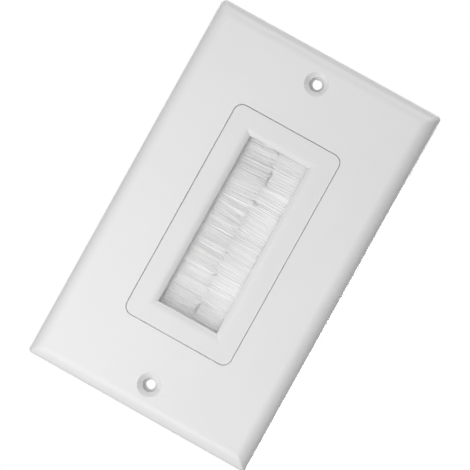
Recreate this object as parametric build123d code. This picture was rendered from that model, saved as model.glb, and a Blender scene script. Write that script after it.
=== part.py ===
from build123d import *

import os
from math import asin, cos, pi, sin

# Cable entry wall plate: a rounded single-gang plate over an insert with two facing rows of bristles.
# Frame in millimetres: +Z up the wall, +X to the right seen from the front, the front faces -Y,
# and the origin is the middle of the plate's back rim, on the wall plane at y = 0.

# Wall plate
plate_width = 70.4
plate_height = 114.3
plate_depth = 6.0
plate_corner_radius = 1.0
border_radius = 4.5
side_wall = 2.0
face_wall = 2.2
window_rim_wall = 1.5
window_edge_bevel = 0.2
plate_rib_wall = 1.2
cross_rib_spacing = 24.0
end_rib_offset = 11.0

# Plate screws and box screws
plate_screw_inset = 8.75
plate_screw_bore = 4.3
countersink_diameter = 7.05
countersink_angle = 82.0
screw_boss_diameter = 9.5
strap_thread_hole = 2.7
box_screw_inset = 6.75
box_slot_length = 7.6
box_slot_width = 4.2

# Insert frame and its mounting strap
insert_width = 33.66
insert_height = 67.2
insert_corner_radius = 2.6
insert_recess = 0.1
insert_edge_bevel = 0.2
insert_face_wall = 2.2
insert_side_wall = 1.75
strap_width = 40.0
strap_end_margin = 4.1
strap_thickness = 1.6
strap_corner_radius = 3.0
strap_rib_wall = 1.4
strap_rib_height = 1.2
strap_rib_inset = 2.8

# Flared cable opening
opening_width = 19.0
opening_height = 53.3
mouth_radius = 3.0
mouth_reach = 2.3
lip_wall = 1.5
lip_depth = 5.0
ledge_rib_wall = 1.2
ledge_rib_spacing = 12.0
ledge_rib_count = 5

# Brush strips
channel_depth = 3.4
channel_reach = 3.4
channel_sheet = 0.5
channel_crimp = 0.25
channel_corner_radius = 0.6
wire_diameter = 1.0
wire_overhang = 0.1
wire_seat = 0.6
bundle_tip_depth = 3.0
bundle_end_gap = 0.6
tuft_pitch = 1.6
tuft_tip_share = 0.5
tuft_lean = 0.65
lean_fade = 6
tuft_split = 5.6
tuft_uneven = 0.6
bristle_layers = 3
lean_wave = 0.55
uneven_wave = 2.3
split_wave = 1.7
split_vary = 0.4
layer_phase = 2.1
side_phase = 0.9
parting_offset = 0.4
parting_wave = 0.5
parting_wave_length = 20.5
parting_peak = 17.5
parting_gap = 0.3

# Rear retainer and its screws
retainer_thickness = 2.0
retainer_corner_radius = 0.8
retainer_flare = 1.0
retainer_screw_length = 5.6
retainer_screw_diameter = 1.9
retainer_head_diameter = 3.4
retainer_head_height = 1.2
retainer_screw_hole = 2.3
head_chamfer_share = 0.4
shank_chamfer_share = 0.25
cross_slot_length = 2.0
cross_slot_width = 0.5
cross_slot_depth = 0.7
post_width = 4.4
post_height = 3.4

# Clearances
window_clearance = 0.12
strap_clearance = 0.3
channel_clearance = 0.1
bundle_clearance = 0.1
wire_clearance = 0.05
retainer_clearance = 0.15
pilot_clearance = 0.05
post_clearance = 0.2

# Overlaps that only help the cutting and joining
cut_past = 1.0
rib_root = 0.5
quarter_turn = 90

# Places worked out from the sizes above; y grows towards the wall cavity
plate_screw_spacing = plate_height - 2 * plate_screw_inset
box_screw_spacing = plate_screw_spacing - 2 * box_screw_inset
strap_height = plate_screw_spacing + 2 * strap_end_margin
face_y = -plate_depth
face_back_y = -(plate_depth - face_wall)
strap_front_y = -strap_thickness
insert_face_y = face_y + insert_recess
insert_back_y = insert_face_y + insert_face_wall
lip_end_y = insert_face_y + lip_depth
channel_back_y = lip_end_y + channel_depth
channel_mid_y = lip_end_y + channel_depth / 2
rear_y = channel_back_y + retainer_thickness
pocket_width = insert_width - 2 * insert_side_wall
pocket_height = insert_height - 2 * insert_side_wall
window_width = insert_width + 2 * window_clearance
window_height = insert_height + 2 * window_clearance
window_corner_radius = insert_corner_radius + window_clearance
rim_width = window_width + 2 * window_rim_wall
rim_height = window_height + 2 * window_rim_wall
cavity_width = plate_width - 2 * side_wall
cavity_height = plate_height - 2 * side_wall
channel_outer_x = pocket_width / 2 - channel_clearance
channel_mouth_x = channel_outer_x - channel_reach
channel_bend_x = (channel_outer_x + channel_mouth_x) / 2
channel_length = pocket_height - 2 * (post_height + post_clearance)
bundle_back_x = channel_outer_x - channel_sheet - bundle_clearance
bundle_length = channel_length - 2 * bundle_end_gap
wire_x = bundle_back_x - wire_seat - wire_diameter / 2
post_x = (pocket_width - post_width) / 2
post_z = (pocket_height - post_height) / 2

top_view = Plane(origin=(0, 0, 0), x_dir=(1, 0, 0), z_dir=(0, 0, -1))
side_view = Plane(origin=(0, 0, 0), x_dir=(0, 0, 1), z_dir=(1, 0, 0))


def slab(outline, back_y, front_y):
    """A front-view outline made solid between two depths."""
    plane = Plane.XZ.offset(-back_y)
    return extrude(plane * outline, amount=back_y - front_y)


def at(x, z, outline):
    """A front-view outline moved to a place on the plate."""
    return Pos(x, z) * outline


def bored(x, z, diameter, back_y, front_y):
    """A round bar along Y, used as a boss or as a hole."""
    return slab(at(x, z, Circle(diameter / 2)), back_y, front_y)


def rounded_profile(width, depth, radius):
    """The section of a block whose front edges are rounded."""
    half = width / 2
    outline = [
        Line((-half, 0), (half, 0)),
        Line((half, 0), (half, depth - radius)),
        CenterArc((half - radius, depth - radius), radius, 0, quarter_turn),
        Line((half - radius, depth), (-half + radius, depth)),
        CenterArc((-half + radius, depth - radius), radius, quarter_turn, quarter_turn),
        Line((-half, depth - radius), (-half, 0)),
    ]
    return make_face(outline)


def rounded_block(width, height, depth, radius):
    """A block whose border rolls off the same way on all four sides and meets in mitres."""
    across = extrude(top_view * rounded_profile(width, depth, radius), amount=height / 2, both=True)
    along = extrude(side_view * rounded_profile(height, depth, radius), amount=width / 2, both=True)
    return across & along


def flared_profile(width, front, back, radius, reach):
    """The section of an opening whose edge rolls outwards to the face, as a cutting shape."""
    half = width / 2
    mouth = half + reach
    past = front + cut_past
    roll = quarter_turn * asin(reach / radius) / asin(1)
    roll_depth = radius - (radius ** 2 - reach ** 2) ** 0.5
    outline = [
        Line((-half, back), (half, back)),
        Line((half, back), (half, front - roll_depth)),
        CenterArc((mouth, front - radius), radius, quarter_turn, roll),
        Line((mouth, front), (mouth, past)),
        Line((mouth, past), (-mouth, past)),
        Line((-mouth, past), (-mouth, front)),
        CenterArc((-mouth, front - radius), radius, quarter_turn - roll, roll),
        Line((-half, front - roll_depth), (-half, back)),
    ]
    return make_face(outline)


def flared_opening(width, height, front, back, radius, reach):
    """A straight rectangular opening with a mitred flare towards the front, as a cutting shape."""
    plan = flared_profile(width, front, back, radius, reach)
    elevation = flared_profile(height, front, back, radius, reach)
    across = extrude(top_view * plan, amount=height, both=True)
    along = extrude(side_view * elevation, amount=width, both=True)
    return across & along


def screw_hole(z):
    """A plate screw hole: a straight bore with a countersink at the face."""
    sink_depth = (countersink_diameter - plate_screw_bore) / 2 / tan_half(countersink_angle)
    bore = bored(0, z, plate_screw_bore, cut_past, face_y - cut_past)
    cone = Cone(countersink_diameter / 2, plate_screw_bore / 2, sink_depth)
    return bore + Pos(0, face_y + sink_depth / 2, z) * Rot(-90, 0, 0) * cone


def tan_half(angle):
    """The tangent of half an angle in degrees."""
    half = angle * pi / 360
    return sin(half) / cos(half)


def make_wall_plate():
    body = rounded_block(plate_width, plate_height, plate_depth, border_radius)
    body = fillet(body.edges().filter_by(Axis.Y), plate_corner_radius)
    body -= rounded_block(cavity_width, cavity_height, plate_depth - face_wall, border_radius - side_wall)
    rim_back_y = strap_front_y - strap_clearance
    rim = RectangleRounded(rim_width, rim_height, window_corner_radius + window_rim_wall)
    body += slab(rim, rim_back_y, face_y)
    # Ribs from the window rim to the side walls, and two at each end beside the screw boss
    side_gap = (cavity_width - rim_width) / 2
    end_gap = (cavity_height - rim_height) / 2
    for z in (-cross_rib_spacing, 0, cross_rib_spacing):
        for side in (-1, 1):
            rib = Rectangle(side_gap + 2 * rib_root, plate_rib_wall)
            body += slab(at(side * (rim_width + side_gap) / 2, z, rib), rim_back_y, face_back_y)
    for x in (-end_rib_offset, end_rib_offset):
        for end in (-1, 1):
            rib = Rectangle(plate_rib_wall, end_gap + 2 * rib_root)
            body += slab(at(x, end * (rim_height + end_gap) / 2, rib), rim_back_y, face_back_y)
    window = RectangleRounded(window_width, window_height, window_corner_radius)
    body -= slab(window, cut_past, face_y - cut_past)
    window_edge = body.faces().filter_by(Axis.Y).sort_by(Axis.Y)[0].inner_wires()
    body = chamfer(window_edge.edges(), window_edge_bevel)
    for end in (-1, 1):
        z = end * plate_screw_spacing / 2
        body += bored(0, z, screw_boss_diameter, strap_front_y, face_back_y)
        body -= screw_hole(z)
    return body


def make_insert_frame():
    body = slab(RectangleRounded(insert_width, insert_height, insert_corner_radius), rear_y, insert_face_y)
    front_edges = body.faces().sort_by(Axis.Y)[0].edges()
    body = chamfer(front_edges, insert_edge_bevel)
    body += slab(RectangleRounded(strap_width, strap_height, strap_corner_radius), 0, strap_front_y)
    rib_x = strap_width / 2 - strap_rib_inset
    rib_start = rim_height / 2 + strap_clearance
    rib_length = strap_height / 2 - strap_corner_radius - rib_start
    for side in (-1, 1):
        for end in (-1, 1):
            rib = Rectangle(strap_rib_wall, rib_length)
            z = end * (rib_start + rib_length / 2)
            body += slab(at(side * rib_x, z, rib), strap_front_y, strap_front_y - strap_rib_height)
    # Hollow behind the face, leaving the lip round the opening, the ledge ribs and the screw posts
    pocket = slab(Rectangle(pocket_width, pocket_height), rear_y + cut_past, insert_back_y)
    lip_outline = Rectangle(opening_width + 2 * lip_wall, opening_height + 2 * lip_wall)
    lip = slab(lip_outline, lip_end_y, insert_back_y)
    pocket -= lip
    ledge_reach = (pocket_width - opening_width) / 2 - lip_wall
    ledge_x = opening_width / 2 + lip_wall + ledge_reach / 2
    for side in (-1, 1):
        for index in range(ledge_rib_count):
            z = (index - (ledge_rib_count - 1) / 2) * ledge_rib_spacing
            rib = Rectangle(ledge_reach, ledge_rib_wall)
            pocket -= slab(at(side * ledge_x, z, rib), lip_end_y, insert_back_y)
        for end in (-1, 1):
            post = Rectangle(post_width, post_height)
            pocket -= slab(at(side * post_x, end * post_z, post), channel_back_y, insert_back_y)
    body -= pocket
    cut_end = -rear_y - cut_past
    body -= flared_opening(opening_width, opening_height, -insert_face_y, cut_end, mouth_radius, mouth_reach)
    pilot = retainer_screw_diameter + 2 * pilot_clearance
    pilot_end_y = channel_back_y - retainer_screw_length + retainer_thickness - post_clearance
    for side in (-1, 1):
        for end in (-1, 1):
            body -= bored(side * post_x, end * post_z, pilot, channel_back_y, pilot_end_y)
    for end in (-1, 1):
        body -= bored(0, end * plate_screw_spacing / 2, strap_thread_hole, cut_past, strap_front_y - cut_past)
        slot = SlotOverall(box_slot_length, box_slot_width)
        body -= slab(at(0, end * box_screw_spacing / 2, slot), cut_past, strap_front_y - cut_past)
    return body


def make_brush_retainer():
    width = pocket_width - 2 * retainer_clearance
    height = pocket_height - 2 * retainer_clearance
    body = slab(RectangleRounded(width, height, retainer_corner_radius), rear_y, channel_back_y)
    cut_end = channel_back_y - cut_past
    opening = flared_opening(opening_width, opening_height, rear_y, cut_end, retainer_flare, retainer_flare)
    body -= mirror(opening, Plane.XZ)
    for side in (-1, 1):
        for end in (-1, 1):
            x = side * post_x
            z = end * post_z
            body -= bored(x, z, retainer_screw_hole, rear_y + cut_past, channel_back_y - cut_past)
    return body


def make_retainer_screw(side, end):
    """A small pan-head screw whose cross recess faces the rear."""
    x = side * post_x
    z = end * post_z
    head_end_y = rear_y + retainer_head_height
    head = bored(x, z, retainer_head_diameter, head_end_y, rear_y)
    head = chamfer(head.edges().sort_by(Axis.Y)[-1], retainer_head_height * head_chamfer_share)
    shank = bored(x, z, retainer_screw_diameter, rear_y, rear_y - retainer_screw_length)
    shank = chamfer(shank.edges().sort_by(Axis.Y)[0], retainer_screw_diameter * shank_chamfer_share)
    screw = head + shank
    for length, width in ((cross_slot_length, cross_slot_width), (cross_slot_width, cross_slot_length)):
        slot = at(x, z, Rectangle(length, width))
        screw -= slab(slot, head_end_y + cut_past, head_end_y - cross_slot_depth)
    return screw


def make_brush_channel(side):
    """A sheet strip folded to a U, its mouth crimped in to grip the bristles."""
    half = channel_depth / 2
    outer = [
        (side * channel_outer_x, -half),
        (side * channel_bend_x, -half),
        (side * channel_mouth_x, -half + channel_crimp),
        (side * channel_mouth_x, -half + channel_crimp + channel_sheet),
        (side * channel_bend_x, -half + channel_sheet),
        (side * (channel_outer_x - channel_sheet), -half + channel_sheet),
    ]
    lower = [(x, -y) for x, y in reversed(outer)]
    section = make_face(Polyline(*outer, *lower, close=True))
    body = extrude(top_view_at(channel_mid_y) * section, amount=channel_length / 2, both=True)
    back = body.edges().filter_by(Axis.Z).sort_by(Axis.X)
    corners = back[-2:] if side > 0 else back[:2]
    return fillet(corners, channel_corner_radius)


def top_view_at(y):
    """The plan view with its origin at a depth."""
    return Plane(origin=(0, y, 0), x_dir=(1, 0, 0), z_dir=(0, 0, -1))


def make_core_wire(side):
    length = channel_length + 2 * wire_overhang
    return Pos(side * wire_x, channel_mid_y, 0) * Cylinder(wire_diameter / 2, length)


def parting(z):
    """Where the two rows of bristles meet at a height; the line wanders a little to both sides."""
    return parting_offset + parting_wave * cos(2 * pi * (z - parting_peak) / parting_wave_length)


def leaned(z, phase):
    """The height of the tip of a bristle whose root is at z; towards the ends of the row it leans less."""
    fade = 1 - abs(2 * z / bundle_length) ** lean_fade
    return z + tuft_lean * fade * sin(lean_wave * z + phase)


def tuft_layer(side, layer):
    """One layer of tapered tufts, in front view, from inside the channel to the parting line."""
    count = round(bundle_length / tuft_pitch)
    pitch = bundle_length / count
    half_length = bundle_length / 2
    root_x = side * channel_bend_x
    phase = layer_phase * layer + (side_phase if side > 0 else 0.0)
    points = [(root_x, -half_length), (root_x, half_length)]
    for index in reversed(range(count)):
        middle = (index + 0.5) * pitch - half_length
        tip_z = leaned(middle, phase)
        short = tuft_uneven * (1 + sin(uneven_wave * middle + phase)) / 2
        tip_x = parting(tip_z) + side * (parting_gap / 2 + short)
        half_tip = pitch * tuft_tip_share / 2
        points.append((tip_x, tip_z + half_tip))
        points.append((tip_x, tip_z - half_tip))
        if index > 0:
            valley = middle - pitch / 2
            depth = tuft_split * (1 + split_vary * sin(split_wave * middle + phase))
            valley_z = (valley + leaned(valley, phase)) / 2
            points.append((tip_x + side * depth, valley_z))
    return make_face(Polyline(*points, close=True))


def bundle_section(side):
    """Plan section of the gripped bundle and of the wedge in which the free ends fan out."""
    root = channel_depth / 2 - channel_sheet - bundle_clearance
    grip = root - channel_crimp
    past_middle = -side * (parting_offset + parting_wave)
    tip = bundle_tip_depth / 2
    half = [
        (side * bundle_back_x, root),
        (side * channel_bend_x, root),
        (side * channel_mouth_x, grip),
        (past_middle, tip),
    ]
    return make_face(Polyline(*half, *[(x, -y) for x, y in reversed(half)], close=True))


def make_bristles(side):
    """A row of bristles: gripped root, then layers of tufts that fan out towards the parting line."""
    layer_depth = bundle_tip_depth / bristle_layers
    front_y = channel_mid_y - bundle_tip_depth / 2
    body = None
    for layer in range(bristle_layers):
        layer_y = front_y + layer * layer_depth
        tufts = slab(tuft_layer(side, layer), layer_y + layer_depth, layer_y)
        body = tufts if body is None else body + tufts
    root = Rectangle(bundle_back_x - channel_bend_x, bundle_length)
    root = at(side * (bundle_back_x + channel_bend_x) / 2, 0, root)
    body += slab(root, front_y + bundle_tip_depth, front_y)
    body &= extrude(top_view_at(channel_mid_y) * bundle_section(side), amount=bundle_length / 2, both=True)
    hole = wire_diameter / 2 + wire_clearance
    body -= Pos(side * wire_x, channel_mid_y, 0) * Cylinder(hole, channel_length + 2 * cut_past)
    return body


def main():
    os.makedirs("parts", exist_ok=True)
    parts = {
        "wall_plate": make_wall_plate(),
        "insert_frame": make_insert_frame(),
        "brush_retainer": make_brush_retainer(),
    }
    for name, side in (("left", -1), ("right", 1)):
        parts[name + "_brush_channel"] = make_brush_channel(side)
        parts[name + "_core_wire"] = make_core_wire(side)
        parts[name + "_bristles"] = make_bristles(side)
        for level, end in (("lower", -1), ("upper", 1)):
            parts[level + "_" + name + "_retainer_screw"] = make_retainer_screw(side, end)
    for name, shape in parts.items():
        export_step(shape, "parts/" + name + ".step")


main()
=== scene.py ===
import random
from math import cos, pi, radians, sin

import bmesh
import bpy
from mathutils import Matrix, Vector


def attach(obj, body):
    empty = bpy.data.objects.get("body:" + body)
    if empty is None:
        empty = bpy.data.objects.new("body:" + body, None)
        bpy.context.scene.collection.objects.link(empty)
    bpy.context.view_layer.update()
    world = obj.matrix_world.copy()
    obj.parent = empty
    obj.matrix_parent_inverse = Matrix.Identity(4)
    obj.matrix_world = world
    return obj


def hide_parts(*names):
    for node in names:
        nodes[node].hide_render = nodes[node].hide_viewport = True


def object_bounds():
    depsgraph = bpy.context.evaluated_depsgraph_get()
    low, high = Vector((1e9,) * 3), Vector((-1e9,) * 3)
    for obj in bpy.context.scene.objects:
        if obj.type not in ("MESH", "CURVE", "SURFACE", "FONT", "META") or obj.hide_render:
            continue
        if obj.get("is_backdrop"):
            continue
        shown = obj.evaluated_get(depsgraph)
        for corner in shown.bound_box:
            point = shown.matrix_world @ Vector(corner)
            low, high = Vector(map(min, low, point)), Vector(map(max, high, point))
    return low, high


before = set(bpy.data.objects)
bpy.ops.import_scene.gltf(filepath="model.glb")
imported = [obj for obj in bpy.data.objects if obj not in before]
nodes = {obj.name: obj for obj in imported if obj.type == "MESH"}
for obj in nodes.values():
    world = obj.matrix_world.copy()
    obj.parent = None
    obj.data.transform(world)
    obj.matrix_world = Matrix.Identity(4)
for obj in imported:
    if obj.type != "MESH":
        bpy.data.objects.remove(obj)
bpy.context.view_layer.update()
random.seed(11)

mm = 0.001

# Camera: a long lens, a little to the right of the plate and above it, rolled over its own axis
view = {
    "azimuth": 4.5,         # degrees to the right of square on
    "elevation": 1.4,
    "roll": 29.06,          # the plate's top leans this far to the right in the picture
    "distance": 0.9,
    "lens": 244.3,
    "aim": (0.37 * mm, -3.0 * mm, 0.16 * mm),
    "sensor": 36.0,
}


def makeCamera(settings):
    azimuth = radians(settings["azimuth"])
    elevation = radians(settings["elevation"])
    roll = radians(settings["roll"])
    back = Vector((sin(azimuth) * cos(elevation), -cos(azimuth) * cos(elevation), sin(elevation)))
    level = Vector((cos(azimuth), sin(azimuth), 0))
    upright = back.cross(level)
    right = cos(roll) * level + sin(roll) * upright
    up = back.cross(right)
    camera = bpy.data.cameras.new("camera")
    camera.lens = settings["lens"]
    camera.sensor_width = settings["sensor"]
    camera.clip_start = 0.01
    holder = bpy.data.objects.new("camera", camera)
    bpy.context.scene.collection.objects.link(holder)
    place = Vector(settings["aim"]) + back * settings["distance"]
    turn = Matrix((right, up, back)).transposed().to_4x4()
    holder.matrix_world = Matrix.Translation(place) @ turn
    bpy.context.scene.camera = holder


makeCamera(view)
bpy.context.scene.view_settings.view_transform = "Standard"
print("camera set")

# Room: pale floor well below the plate, a soft ceiling, white all round for the camera and in reflections
room = {
    "floorDrop": 700 * mm,
    "floorSize": 6.0,
    "floorColour": (0.82, 0.82, 0.82, 1),
    "floorLift": 0.8,           # added for the camera alone, so that the floor looks nearly white
    "ceilingColour": (1.0, 1.0, 1.0, 1),
    "ceilingFrom": (0, 0, 1),
    "ceilingLevel": 0.41,
    "backdropColour": (1.0, 1.0, 1.0, 1),
    "backdropLevel": 1.0,
}
# Square soft lamps, all aimed at the middle of the plate
lamps = {
    "far": {"place": (0.0, -0.9, 0.0), "size": 0.8, "watts": 1.7},
    "near": {"place": (-0.1, -0.16, -0.06), "size": 0.2, "watts": 0.096},
    "key": {"place": (-0.05, -0.14, -0.11), "size": 0.2, "watts": 0.024},
    "left": {"place": (-0.6, -0.2, 0.0), "size": 0.35, "watts": 0.14},
    "above": {"place": (0.0, -0.2, 0.6), "size": 0.35, "watts": 1.24},
    "low": {"place": (0.0, -0.5, -0.5), "size": 0.4, "watts": 1.69},
    "rearLeft": {"place": (-0.4, 0.8, 0.3), "size": 0.4, "watts": 3.4},
    "rearRight": {"place": (0.3, 0.9, -0.15), "size": 0.4, "watts": 3.2},
}


def node(tree, kind, x, y, **values):
    made = tree.nodes.new(kind)
    made.location = (x, y)
    for name, value in values.items():
        if name in made.inputs:
            made.inputs[name].default_value = value
        else:
            setattr(made, name, value)
    return made


# The ceiling is brightest straight above and fades out at the horizon
def ceilingStrength(tree, settings):
    place = node(tree, "ShaderNodeTexCoord", -1000, -200)
    facing = node(tree, "ShaderNodeVectorMath", -800, -200, operation="DOT_PRODUCT")
    facing.inputs[1].default_value = settings["ceilingFrom"]
    kept = node(tree, "ShaderNodeMath", -600, -200, operation="MAXIMUM")
    kept.inputs[1].default_value = 0.0
    level = node(tree, "ShaderNodeMath", -400, -200, operation="MULTIPLY")
    level.inputs[1].default_value = settings["ceilingLevel"]
    tree.links.new(place.outputs["Generated"], facing.inputs[0])
    tree.links.new(facing.outputs["Value"], kept.inputs[0])
    tree.links.new(kept.outputs[0], level.inputs[0])
    return level.outputs[0]


def makeRoom(settings):
    world = bpy.data.worlds.new("room")
    bpy.context.scene.world = world
    world.use_nodes = True
    tree = world.node_tree
    tree.nodes.clear()
    output = node(tree, "ShaderNodeOutputWorld", 600, 0)
    mix = node(tree, "ShaderNodeMixShader", 400, 0)
    soft = node(tree, "ShaderNodeBackground", 200, -100, Color=settings["ceilingColour"])
    tree.links.new(ceilingStrength(tree, settings), soft.inputs["Strength"])
    bright = node(tree, "ShaderNodeBackground", 200, -250)
    bright.inputs["Color"].default_value = settings["backdropColour"]
    bright.inputs["Strength"].default_value = settings["backdropLevel"]
    path = node(tree, "ShaderNodeLightPath", -200, 100)
    glossy = node(tree, "ShaderNodeMath", 0, 100, operation="MAXIMUM")
    through = node(tree, "ShaderNodeMath", 200, 100, operation="MAXIMUM")
    tree.links.new(path.outputs["Is Camera Ray"], glossy.inputs[0])
    tree.links.new(path.outputs["Is Glossy Ray"], glossy.inputs[1])
    tree.links.new(glossy.outputs[0], through.inputs[0])
    tree.links.new(path.outputs["Is Transmission Ray"], through.inputs[1])
    tree.links.new(through.outputs[0], mix.inputs["Fac"])
    tree.links.new(soft.outputs[0], mix.inputs[1])
    tree.links.new(bright.outputs[0], mix.inputs[2])
    tree.links.new(mix.outputs[0], output.inputs["Surface"])

    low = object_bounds()[0]
    bm = bmesh.new()
    bmesh.ops.create_grid(bm, x_segments=1, y_segments=1, size=settings["floorSize"] / 2)
    bmesh.ops.translate(bm, verts=bm.verts, vec=(0, 0, low[2] - settings["floorDrop"]))
    floor = finish(bm, "floor", floorMaterial(settings))
    floor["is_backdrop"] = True


def floorMaterial(settings):
    material = bpy.data.materials.new("paleFloor")
    material.use_nodes = True
    tree = material.node_tree
    tree.nodes.clear()
    output = node(tree, "ShaderNodeOutputMaterial", 600, 0)
    add = node(tree, "ShaderNodeAddShader", 400, 0)
    matt = node(tree, "ShaderNodeBsdfDiffuse", 200, 100, Color=settings["floorColour"])
    glow = node(tree, "ShaderNodeEmission", 200, -100, Color=(1, 1, 1, 1))
    path = node(tree, "ShaderNodeLightPath", -200, -100)
    level = node(tree, "ShaderNodeMath", 0, -100, operation="MULTIPLY")
    level.inputs[1].default_value = settings["floorLift"]
    tree.links.new(path.outputs["Is Camera Ray"], level.inputs[0])
    tree.links.new(level.outputs[0], glow.inputs["Strength"])
    tree.links.new(matt.outputs[0], add.inputs[0])
    tree.links.new(glow.outputs[0], add.inputs[1])
    tree.links.new(add.outputs[0], output.inputs["Surface"])
    return material


def finish(bm, name, material, smooth=False):
    mesh = bpy.data.meshes.new(name)
    bm.to_mesh(mesh)
    bm.free()
    piece = bpy.data.objects.new(name, mesh)
    bpy.context.scene.collection.objects.link(piece)
    mesh.materials.append(material)
    if smooth:
        mesh.shade_smooth()
    return piece


def makeLamps(places):
    for name, values in places.items():
        data = bpy.data.lights.new(name, "AREA")
        data.shape = "SQUARE"
        data.size = values["size"]
        data.energy = values["watts"]
        lamp = bpy.data.objects.new(name, data)
        bpy.context.scene.collection.objects.link(lamp)
        lamp.location = values["place"]
        lamp.rotation_euler = (-Vector(values["place"])).to_track_quat("-Z", "Y").to_euler()


makeRoom(room)
makeLamps(lamps)
print("room and lamps set")


noiseSpan = (0.3, 0.7)          # nearly all of a noise texture's values lie between these


# Moulded plastic: a faint ripple in the skin, and gloss that varies a little from place to place
def mouldedPlastic(name, values):
    material = bpy.data.materials.new(name)
    material.use_nodes = True
    tree = material.node_tree
    shader = tree.nodes["Principled BSDF"]
    shader.inputs["IOR"].default_value = values["ior"]
    place = node(tree, "ShaderNodeTexCoord", -1100, 0)
    cloud = node(tree, "ShaderNodeTexNoise", -800, 200, Scale=values["cloudScale"], Detail=3.0)
    skin = node(tree, "ShaderNodeTexNoise", -800, -200, Scale=values["skinScale"], Detail=2.0)
    shade = node(tree, "ShaderNodeValToRGB", -500, 300)
    shade.color_ramp.elements[0].position = noiseSpan[0]
    shade.color_ramp.elements[0].color = values["dark"]
    shade.color_ramp.elements[1].position = noiseSpan[1]
    shade.color_ramp.elements[1].color = values["pale"]
    gloss = node(tree, "ShaderNodeMapRange", -500, 0)
    gloss.inputs["From Min"].default_value = noiseSpan[0]
    gloss.inputs["From Max"].default_value = noiseSpan[1]
    gloss.inputs["To Min"].default_value = values["roughness"][0]
    gloss.inputs["To Max"].default_value = values["roughness"][1]
    ripple = node(tree, "ShaderNodeBump", -300, -250, Strength=values["ripple"])
    ripple.inputs["Distance"].default_value = values["rippleHeight"]
    tree.links.new(place.outputs["Object"], cloud.inputs["Vector"])
    tree.links.new(place.outputs["Object"], skin.inputs["Vector"])
    tree.links.new(cloud.outputs["Fac"], shade.inputs["Fac"])
    tree.links.new(cloud.outputs["Fac"], gloss.inputs["Value"])
    tree.links.new(skin.outputs["Fac"], ripple.inputs["Height"])
    tree.links.new(shade.outputs["Color"], shader.inputs["Base Color"])
    tree.links.new(gloss.outputs["Result"], shader.inputs["Roughness"])
    tree.links.new(ripple.outputs["Normal"], shader.inputs["Normal"])
    return material


# Plated or drawn steel: fine lines along the part, cloudy gloss
def steel(name, values):
    material = bpy.data.materials.new(name)
    material.use_nodes = True
    tree = material.node_tree
    shader = tree.nodes["Principled BSDF"]
    shader.inputs["Metallic"].default_value = 1.0
    place = node(tree, "ShaderNodeTexCoord", -1300, 0)
    drawn = node(tree, "ShaderNodeMapping", -1100, -200, Scale=values["stretch"])
    lines = node(tree, "ShaderNodeTexNoise", -900, -200, Scale=values["lineScale"], Detail=4.0)
    cloud = node(tree, "ShaderNodeTexNoise", -900, 200, Scale=values["cloudScale"], Detail=3.0)
    shade = node(tree, "ShaderNodeValToRGB", -500, 300)
    shade.color_ramp.elements[0].position = noiseSpan[0]
    shade.color_ramp.elements[0].color = values["dark"]
    shade.color_ramp.elements[1].position = noiseSpan[1]
    shade.color_ramp.elements[1].color = values["pale"]
    gloss = node(tree, "ShaderNodeMapRange", -500, 0)
    gloss.inputs["To Min"].default_value = values["roughness"][0]
    gloss.inputs["To Max"].default_value = values["roughness"][1]
    grooves = node(tree, "ShaderNodeBump", -300, -250, Strength=values["groove"])
    grooves.inputs["Distance"].default_value = values["grooveHeight"]
    tree.links.new(place.outputs["Object"], drawn.inputs["Vector"])
    tree.links.new(place.outputs["Object"], cloud.inputs["Vector"])
    tree.links.new(drawn.outputs["Vector"], lines.inputs["Vector"])
    tree.links.new(cloud.outputs["Fac"], shade.inputs["Fac"])
    tree.links.new(lines.outputs["Fac"], gloss.inputs["Value"])
    tree.links.new(lines.outputs["Fac"], grooves.inputs["Height"])
    tree.links.new(shade.outputs["Color"], shader.inputs["Base Color"])
    tree.links.new(gloss.outputs["Result"], shader.inputs["Roughness"])
    tree.links.new(grooves.outputs["Normal"], shader.inputs["Normal"])
    return material


# White nylon: each bristle is a slightly different white, with faint lines along it
def nylon(name, values):
    material = bpy.data.materials.new(name)
    material.use_nodes = True
    tree = material.node_tree
    shader = tree.nodes["Principled BSDF"]
    shader.inputs["Roughness"].default_value = values["roughness"]
    shader.inputs["IOR"].default_value = values["ior"]
    bristle = node(tree, "ShaderNodeNewGeometry", -800, 100)
    shade = node(tree, "ShaderNodeValToRGB", -500, 100)
    shade.color_ramp.elements[0].color = values["dark"]
    shade.color_ramp.elements[1].color = values["pale"]
    place = node(tree, "ShaderNodeTexCoord", -1000, -200)
    drawn = node(tree, "ShaderNodeMapping", -800, -200, Scale=values["stretch"])
    skin = node(tree, "ShaderNodeTexNoise", -600, -200, Scale=values["skinScale"], Detail=2.0)
    ripple = node(tree, "ShaderNodeBump", -300, -250, Strength=values["ripple"])
    ripple.inputs["Distance"].default_value = values["rippleHeight"]
    tree.links.new(bristle.outputs["Random Per Island"], shade.inputs["Fac"])
    tree.links.new(place.outputs["Object"], drawn.inputs["Vector"])
    tree.links.new(drawn.outputs["Vector"], skin.inputs["Vector"])
    tree.links.new(skin.outputs["Fac"], ripple.inputs["Height"])
    tree.links.new(shade.outputs["Color"], shader.inputs["Base Color"])
    tree.links.new(ripple.outputs["Normal"], shader.inputs["Normal"])
    return material


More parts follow.
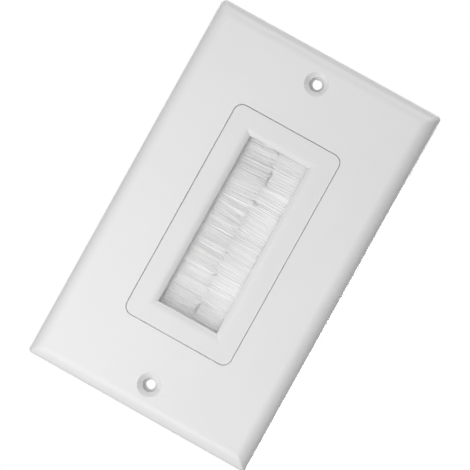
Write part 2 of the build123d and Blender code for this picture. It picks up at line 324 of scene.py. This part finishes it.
finishes = {
    "wall_plate": (mouldedPlastic, {
        "dark": (0.815, 0.815, 0.815, 1), "pale": (0.835, 0.835, 0.835, 1),
        "roughness": (0.3, 0.36), "ior": 1.46, "cloudScale": 45.0,
        "skinScale": 1600.0, "ripple": 0.12, "rippleHeight": 0.02 * mm,
    }),
    "insert_frame": (mouldedPlastic, {
        "dark": (0.8, 0.8, 0.8, 1), "pale": (0.82, 0.82, 0.82, 1),
        "roughness": (0.34, 0.4), "ior": 1.46, "cloudScale": 60.0,
        "skinScale": 1800.0, "ripple": 0.12, "rippleHeight": 0.02 * mm,
    }),
    "brush_retainer": (mouldedPlastic, {
        "dark": (0.77, 0.77, 0.765, 1), "pale": (0.8, 0.8, 0.795, 1),
        "roughness": (0.45, 0.55), "ior": 1.46, "cloudScale": 80.0,
        "skinScale": 2500.0, "ripple": 0.3, "rippleHeight": 0.03 * mm,
    }),
    "brush_channel": (steel, {
        "dark": (0.58, 0.59, 0.6, 1), "pale": (0.66, 0.67, 0.68, 1),
        "roughness": (0.25, 0.42), "cloudScale": 300.0, "stretch": (1.0, 1.0, 0.04),
        "lineScale": 3000.0, "groove": 0.25, "grooveHeight": 0.01 * mm,
    }),
    "core_wire": (steel, {
        "dark": (0.54, 0.55, 0.56, 1), "pale": (0.62, 0.63, 0.64, 1),
        "roughness": (0.2, 0.34), "cloudScale": 500.0, "stretch": (1.0, 1.0, 0.03),
        "lineScale": 6000.0, "groove": 0.3, "grooveHeight": 0.008 * mm,
    }),
    "retainer_screw": (steel, {
        "dark": (0.6, 0.61, 0.63, 1), "pale": (0.7, 0.71, 0.72, 1),
        "roughness": (0.2, 0.36), "cloudScale": 900.0, "stretch": (1.0, 1.0, 1.0),
        "lineScale": 4000.0, "groove": 0.2, "grooveHeight": 0.008 * mm,
    }),
    "bristles": (nylon, {
        "dark": (0.965, 0.965, 0.965, 1), "pale": (0.99, 0.99, 0.99, 1),
        "roughness": 0.45, "ior": 1.5, "stretch": (0.1, 1.0, 1.0),
        "skinScale": 9000.0, "ripple": 0.2, "rippleHeight": 0.02 * mm,
    }),
}
materials = {name: maker(name + "Finish", values) for name, (maker, values) in finishes.items()}
for name, piece in nodes.items():
    kind = next(k for k in finishes if name.endswith(k))
    piece.data.materials.clear()
    piece.data.materials.append(materials[kind])
print("materials set")

# Bristles: fine nylon, each one folded over the core wire, so it has a leg in front and a leg behind
brush = {
    "count": 2000,              # folded filaments a side
    "diameter": 0.2 * mm,
    "tipDiameter": 0.17 * mm,
    "sides": 4,
    "rings": (4, 3),            # rings along each leg, and round the fold
    "layerStep": 0.381966,      # spreads neighbours over the row's thickness
    "wireX": 13.1 * mm,
    "middleY": 0.8 * mm,
    "foldRadius": (0.62 * mm, 1.08 * mm),
    "halfLength": 27.3 * mm,
    "rootMargin": 0.2 * mm,     # roots and tips stay this far inside the row's ends
    "tipMargin": 0.45 * mm,
    "mouthX": 11.4 * mm,        # the channel pinches the bundle here
    "mouthPinch": 0.82,
    "mouthGather": 0.2,         # how much of its way to the tip's height a filament has gone here
    "lipX": 9.6 * mm,
    "lipGather": 0.7,
    "lipRise": 0.08,
    "lipSplay": 0.96,
    "bendAlong": 0.55,          # the ring between the lip and the tip
    "bendRise": 0.5,
    "tipSplay": 1.38 * mm,      # half the row's thickness beyond the channel
    "splaySpare": 0.05 * mm,
    "innerSplay": 0.2,          # the innermost filaments' share of the splay and of the rise
    "innerRise": 0.35,
    "ragged": 0.2 * mm,         # how unevenly the left row's tips end
    "tuck": 1.1 * mm,           # how far the right row's tips reach in under them
    "tuckDepth": 0.1 * mm,
    "pocketShare": (0.7, 1.0),
    "pocketLayer": 0.3,         # filaments deeper than this reach across the pockets
    "stray": 0.05 * mm,
    "strayBend": 0.4,
    "strayTip": 0.8,
}
# Strands: each tuft holds a few, and the filaments of one lie together
strand = {
    "width": 0.6 * mm,
    "uneven": 0.25,             # share of its width by which an edge wanders
    "clump": 0.22,              # how far a strand's outer filaments draw together
    "crown": 0.1 * mm,          # a strand is round, so its edges lie deeper
    "lift": 0.1 * mm,           # how far one strand stands proud of the next
    "bow": 0.12 * mm,
    "rise": 0.08,               # millimetres
}
# Packed middle of a row, seen only between the filaments
packed = {
    "share": 0.77,              # of the row's thickness
    "grip": 0.8,                # of the pinched bundle's thickness, in the channel
    "margin": 0.5 * mm,
    "cuts": 5,                  # across the row
    "shoulder": 0.2,            # how far out the row has its full thickness
    "taper": 0.03,
    "taperFrom": 0.8,
    "pocket": 0.7,
    "ridges": 270,              # ridges down the row, as wide as a bristle
    "ridge": 0.07 * mm,
}
# Height of each split between tufts, how far it opens at the tips, and how far the tips rise above it,
# in millimetres
splits = {
    "left": (
        (27.4, 0.0, 0.9), (25.6, 0.1, 0.9), (23.9, 0.15, 0.9), (22.0, 0.25, 0.8), (20.3, 0.25, 0.8),
        (18.1, 0.1, 0.7), (15.7, 0.25, 0.8), (14.2, 0.1, 1.0), (12.5, 0.3, 0.9), (10.4, 0.12, 0.5),
        (8.6, 0.3, -0.2), (6.6, 0.45, -0.8), (4.4, 0.12, -0.3), (2.4, 0.1, 0.1), (0.9, 0.12, 0.1),
        (-0.8, 0.3, -0.3), (-2.6, 0.1, 0.0), (-4.1, 0.2, 0.2), (-5.4, 0.1, 0.0), (-6.6, 0.35, -0.2),
        (-9.0, 0.2, 0.1), (-11.0, 0.1, 0.0), (-12.8, 0.5, -0.1), (-14.7, 0.2, -0.1), (-15.9, 0.15, -0.3),
        (-17.5, 0.12, 0.0), (-19.7, 0.4, 0.0), (-21.8, 0.1, 0.1), (-23.8, 0.12, 0.1), (-25.5, 0.15, 0.2),
        (-27.4, 0.0, 0.2),
    ),
    "right": (
        (27.4, 0.0, 0.1), (25.9, 0.12, 0.0), (24.2, 0.1, -0.1), (22.1, 0.3, -0.2), (20.5, 0.3, -0.3),
        (18.6, 0.2, -0.4), (17.2, 0.15, -0.4), (15.6, 0.3, -0.1), (13.2, 0.3, 0.1), (11.4, 0.6, 0.3),
        (9.6, 0.2, 0.5), (7.6, 0.12, 0.5), (5.6, 0.1, 0.4), (3.6, 0.3, 0.4), (2.0, 0.2, 0.1),
        (-0.2, 0.1, 0.0), (-2.2, 0.1, 0.2), (-3.9, 0.3, 0.3), (-5.8, 0.3, 0.4), (-7.2, 0.35, 0.3),
        (-9.4, 0.1, 0.1), (-12.1, 0.35, -0.2), (-13.6, 0.12, 0.2), (-15.3, 0.2, 0.1), (-17.0, 0.15, 0.0),
        (-18.9, 0.3, 0.3), (-20.6, 0.1, 0.2), (-22.3, 0.3, 0.5), (-24.4, 0.4, 0.3), (-25.7, 0.2, 0.1),
        (-27.4, 0.0, 0.1),
    ),
}
# Where the left row's tips end, from the top down, in millimetres
parting = (
    (27.4, -0.1), (22.6, -0.2), (21.4, 0.5), (15.9, 0.6), (15.2, 0.1), (10.0, 0.3),
    (0.0, 0.2), (-9.0, 0.1), (-12.0, 0.6), (-27.4, 0.7),
)
# The right row's tips stand back from the parting here: height, half height and distance
pockets = ((18.6, 3.0, 0.8), (10.9, 0.9, 2.2), (-5.0, 0.5, 0.6), (-12.2, 0.5, 0.8), (-23.2, 1.8, 0.9))


def partingAt(z):
    for (high, a), (low, b) in zip(parting, parting[1:]):
        if z >= low * mm:
            share = (high * mm - z) / ((high - low) * mm)
            return (a + (b - a) * share) * mm
    return parting[-1][1] * mm


# One straight filament of square section, a ring at each whole step along X
def filamentTemplate(rings, sides):
    bm = bmesh.new()
    bmesh.ops.create_circle(bm, cap_ends=True, segments=sides, radius=1.0)
    bmesh.ops.rotate(bm, verts=bm.verts, matrix=Matrix.Rotation(pi / 2, 3, "Y"))
    end = list(bm.faces)
    for step in range(1, rings):
        grown = bmesh.ops.extrude_face_region(bm, geom=end)["geom"]
        if step > 1:
            bmesh.ops.delete(bm, geom=end, context="FACES_ONLY")
        bmesh.ops.translate(bm, verts=[g for g in grown if isinstance(g, bmesh.types.BMVert)], vec=(1, 0, 0))
        end = [g for g in grown if isinstance(g, bmesh.types.BMFace)]
    bmesh.ops.recalc_face_normals(bm, faces=bm.faces)
    for edge in bm.edges:                               # a crisp cut at both tips
        ends = {round(v.co.x) for v in edge.verts}
        edge.smooth = ends not in ({0}, {rings - 1})
    mesh = bpy.data.meshes.new("filament")
    bm.to_mesh(mesh)
    bm.free()
    return mesh


# How far the right row's tips stand back from the parting
def pocketAt(z):
    total = 0.0
    for centre, half, back in pockets:
        total += max(0.0, 1 - (abs(z - centre * mm) / (half * mm)) ** 4) * back * mm
    return total


# The strands of a row from the top down: their heights at the channel and at the tips, and how each one lies
def strandsOf(rows, values, ragged):
    strands = []
    for (high, highGap, rise), (low, lowGap, _) in zip(rows, rows[1:]):
        count = max(2, round((high - low) * mm / values["width"]))
        top = high - highGap / 2
        bottom = low + lowGap / 2
        uneven = values["uneven"]
        cuts = [(i + random.uniform(-uneven, uneven) * (0 < i < count)) / count for i in range(count + 1)]
        for upper, lower in zip(cuts, cuts[1:]):
            strands.append({
                "root": ((high - (high - low) * upper) * mm, (high - (high - low) * lower) * mm),
                "tip": ((top - (top - bottom) * upper) * mm, (top - (top - bottom) * lower) * mm),
                "rise": (rise + random.uniform(-values["rise"], values["rise"])) * mm,
                "lift": random.uniform(-1, 1) * values["lift"],
                "bow": random.uniform(-1, 1) * values["bow"],
                "short": random.uniform(-1, 1) * ragged,
            })
    return strands


def mixed(a, b, share):
    return a + (b - a) * share


def held(value, limit):
    return max(-limit, min(limit, value))


# Points along one filament: the front leg from its tip, round the wire, and the leg behind out to its tip
def filamentPath(side, z, fold, lies, values):
    inner, outer = values["foldRadius"]
    layer = (fold - inner) / (outer - inner)            # 1 for the outermost filaments
    upper, lower = lies["root"]
    share = (z - lower) / (upper - lower)               # 0 at the strand's lower edge, 1 at its upper one
    drawn = 0.5 + (share - 0.5) * (1 - strand["clump"] * layer)
    upper, lower = lies["tip"]
    splay = mixed(values["innerSplay"], 1, layer)
    packedZ = mixed(z, mixed(lower, upper, drawn), splay)
    rise = lies["rise"] * mixed(values["innerRise"], 1, layer)
    tipZ = held(packedZ + rise, values["halfLength"] - values["tipMargin"])
    rise = tipZ - packedZ
    gather = packedZ - z
    crown = (2 * share - 1) ** 2 * layer * strand["crown"]
    legs = []
    for face in (-1, 1):                                # in front, then behind
        depth = face * (splay * values["tipSplay"] - crown) + lies["lift"] * layer
        tipX = partingAt(tipZ) + lies["short"] + random.uniform(-0.5, 0.5) * values["ragged"]
        if side > 0:
            tipX = partingAt(tipZ) - random.uniform(0, values["tuck"])
            depth -= face * values["tuckDepth"]
            if face < 0 and layer > values["pocketLayer"]:
                back = pocketAt(tipZ)
                tipX += back * random.uniform(*values["pocketShare"]) + (back > 0) * 0.5 * values["tuck"]
        depth = held(depth, values["tipSplay"] + values["splaySpare"])
        stray = random.uniform(-1, 1) * values["stray"]
        bow = lies["bow"] + stray
        mouthX = side * values["mouthX"]
        mouthY = face * fold * values["mouthPinch"]
        mouthZ = z + gather * values["mouthGather"]
        lipX = side * values["lipX"]
        lipZ = z + gather * values["lipGather"] + rise * values["lipRise"]
        bendX = mixed(lipX, tipX, values["bendAlong"])
        bendZ = packedZ + rise * values["bendRise"] + bow
        legs.append([
            (mouthX, mouthY, mouthZ),
            (lipX, depth * values["lipSplay"], lipZ),
            (bendX, depth + stray * values["strayBend"], bendZ),
            (tipX, depth + stray * values["strayTip"], packedZ + rise + stray),
        ])
    rootX = side * values["wireX"]
    turn = [
        (rootX + side * fold * sin(angle), -fold * cos(angle), z)
        for angle in (0.0, pi / 2, pi)
    ]
    path = list(reversed(legs[0])) + turn + legs[1]
    return [Vector((x, values["middleY"] + y, height)) for x, y, height in path]


def packedMiddle(side, values, row):
    bm = bmesh.new()
    bmesh.ops.create_cube(bm, size=1.0)
    long = [e for e in bm.edges if abs((e.verts[0].co - e.verts[1].co).z) > 0.5]
    levels = 2 * values["ridges"]
    bmesh.ops.subdivide_edges(bm, edges=long, cuts=levels - 1)
    uneven = random.Random(7)
    ridges = [values["ridge"] * (i % 2 - uneven.uniform(0, 1)) for i in range(levels + 1)]
    across = [e for e in bm.edges if abs((e.verts[0].co - e.verts[1].co).x) > 0.5]
    bmesh.ops.subdivide_edges(bm, edges=across, cuts=values["cuts"])
    step = 1 / (values["cuts"] + 1)
    grip = row["foldRadius"][1] * row["mouthPinch"] * values["grip"]
    wide = row["tipSplay"] * values["share"]
    rootX = side * row["mouthX"]
    for v in bm.verts:
        z = v.co.z * 2 * (row["halfLength"] - values["margin"])
        reach = 0.5 - side * v.co.x                     # 0 in the channel, 1 at the tips
        tipX = partingAt(z)
        if side > 0:
            tipX += pocketAt(z) * values["pocket"]
        if reach < step / 2:
            x, half = rootX, grip
        else:
            x = mixed(rootX, tipX, mixed(values["shoulder"], 1, (reach - step) / (1 - step)))
            thin = values["taper"] * max(0.0, reach - values["taperFrom"]) / (1 - values["taperFrom"])
            half = wide * (1 - thin) + ridges[round((v.co.z + 0.5) * levels)]
        v.co = (x, row["middleY"] + v.co.y * 2 * half, z)
    bmesh.ops.recalc_face_normals(bm, faces=bm.faces)
    for edge in bm.edges:                               # crisp ridges and furrows
        edge.smooth = edge.verts[0].co.z != edge.verts[1].co.z
    mesh = bpy.data.meshes.new("packed")
    bm.to_mesh(mesh)
    bm.free()
    return mesh


def makeBristles(side, name, values):
    rings = 2 * values["rings"][0] + values["rings"][1]
    template = filamentTemplate(rings, values["sides"])
    corners = [(round(v.co.x), v.co.y, v.co.z) for v in template.vertices]
    bm = bmesh.new()
    for i in range(values["count"]):
        bm.from_mesh(template)
    bm.from_mesh(packedMiddle(side, packed, values))
    bm.verts.ensure_lookup_table()
    inner, outer = values["foldRadius"]
    usable = values["halfLength"] - values["rootMargin"]
    strands = strandsOf(splits["left" if side < 0 else "right"], strand, values["ragged"])
    for i in range(values["count"]):
        z = usable * (1 - 2 * (i + random.random()) / values["count"])
        while len(strands) > 1 and z < strands[0]["root"][1]:
            strands.pop(0)
        layer = (i * values["layerStep"]) % 1.0
        path = filamentPath(side, z, mixed(inner, outer, layer), strands[0], values)
        spin = random.uniform(0, pi)
        frames = []
        for k in range(rings):
            along = (path[min(k + 1, rings - 1)] - path[max(k - 1, 0)]).normalized()
            across = along.cross(Vector((0, 0, 1))).normalized()
            frames.append((across, along.cross(across)))
        for j, (k, a, b) in enumerate(corners):
            end = k in (0, rings - 1)
            radius = (values["tipDiameter"] if end else values["diameter"]) / 2
            u = (a * cos(spin) - b * sin(spin)) * radius
            w = (a * sin(spin) + b * cos(spin)) * radius
            across, upward = frames[k]
            bm.verts[i * len(corners) + j].co = path[k] + across * u + upward * w
    bmesh.ops.recalc_face_normals(bm, faces=bm.faces)
    piece = finish(bm, name.replace("bristles", "filaments"), materials["bristles"], smooth=True)
    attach(piece, "root")
    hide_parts(name)
    return piece


for side, name in ((-1, "left_bristles"), (1, "right_bristles")):
    row = makeBristles(side, name, brush)
    print(name, len(row.data.polygons), "faces")
